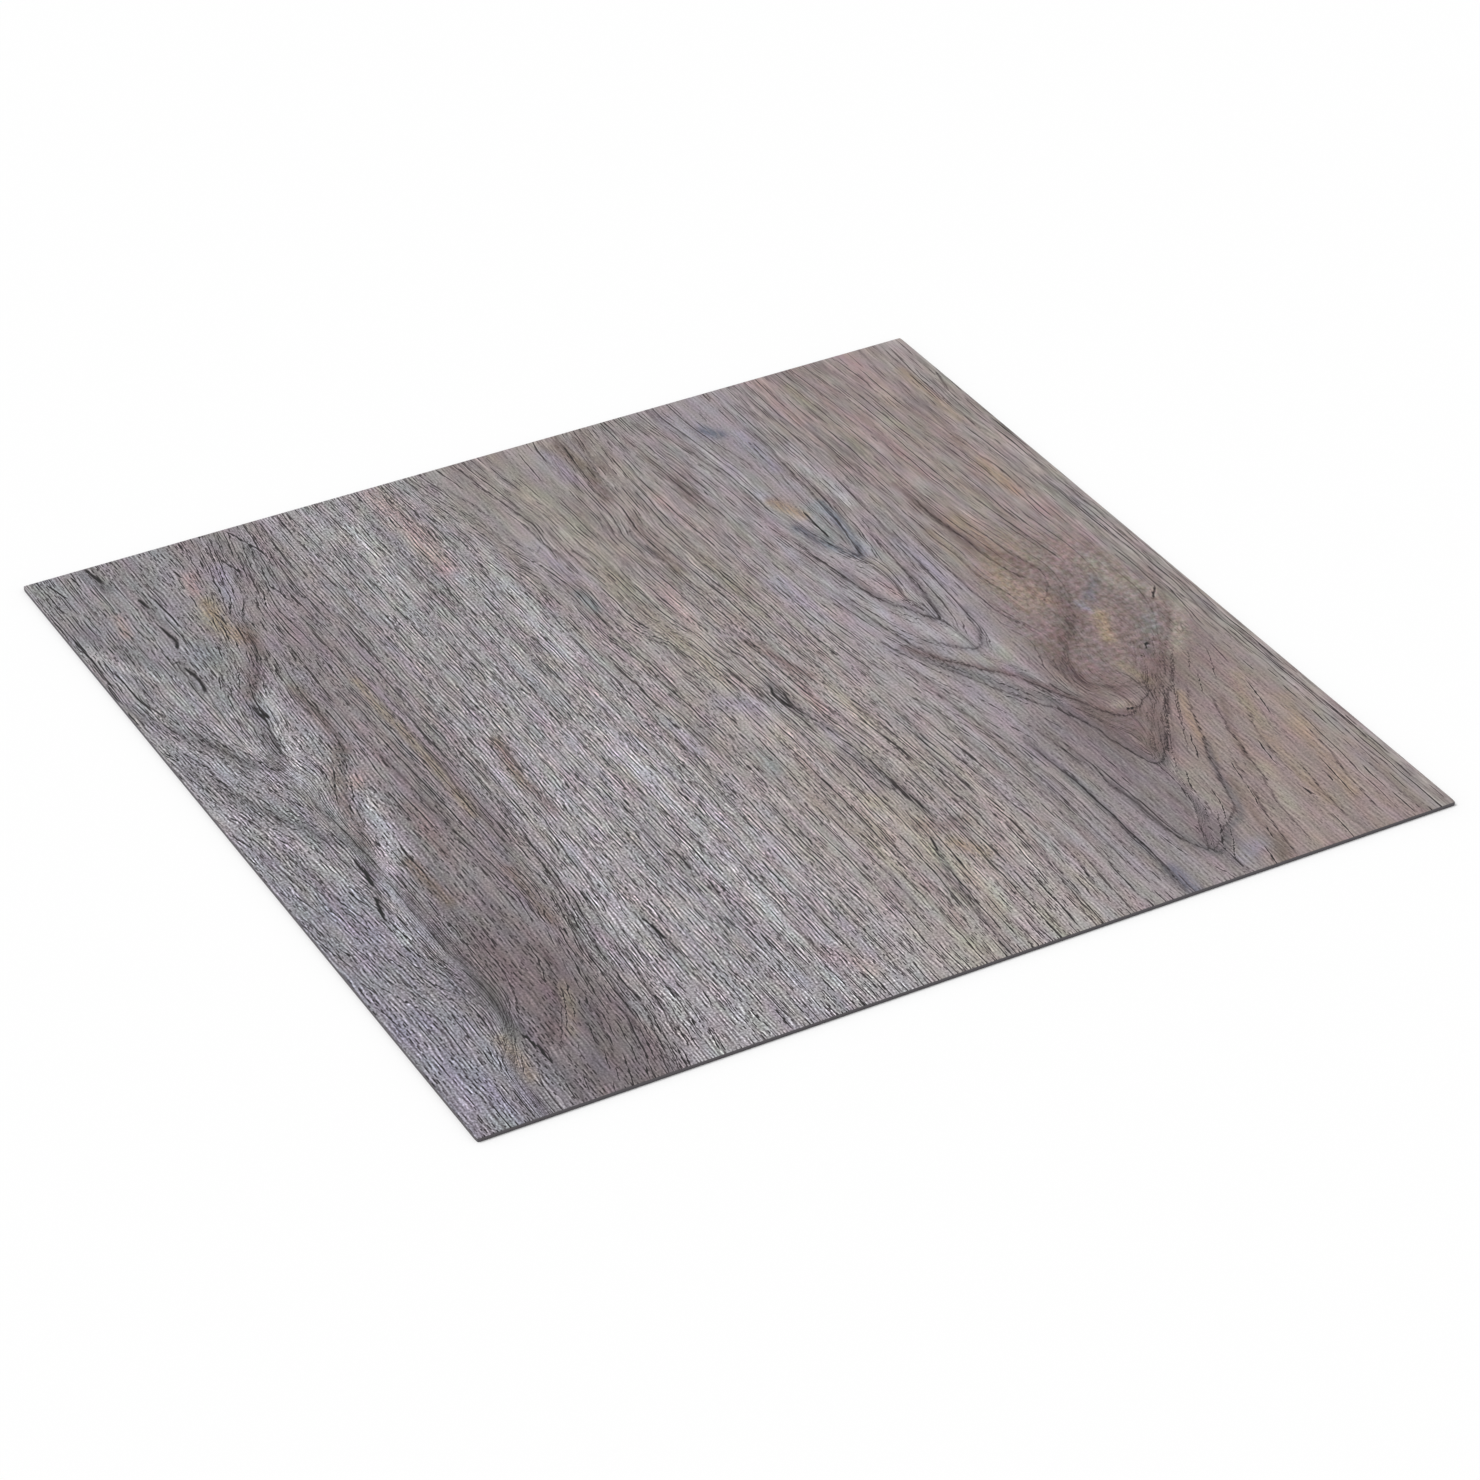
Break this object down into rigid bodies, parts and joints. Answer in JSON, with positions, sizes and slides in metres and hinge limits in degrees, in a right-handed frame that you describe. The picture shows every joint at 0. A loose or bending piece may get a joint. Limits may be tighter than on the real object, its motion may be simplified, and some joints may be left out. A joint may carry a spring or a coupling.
{
  "type": "self-adhesive vinyl tile",
  "caption": "Thin square floor tile of flexible vinyl with a printed weathered-wood wear face, die-cut edges and a flat self-adhesive underside.",
  "frame": {"origin": "centre of the adhesive underside, on the surface the tile lies on", "axes": "+Z out of the printed wear face, +Y along the printed wood grain, +X across the grain"},
  "size_m": [0.3048, 0.3048, 0.0012],
  "materials": {
    "printed_vinyl": "matte weathered-wood print under an embossed clear wear layer, dark grey cut edge"
  },
  "bodies": {
    "root": {"vinyl_tile": "printed_vinyl"}
  },
  "joints": []
}
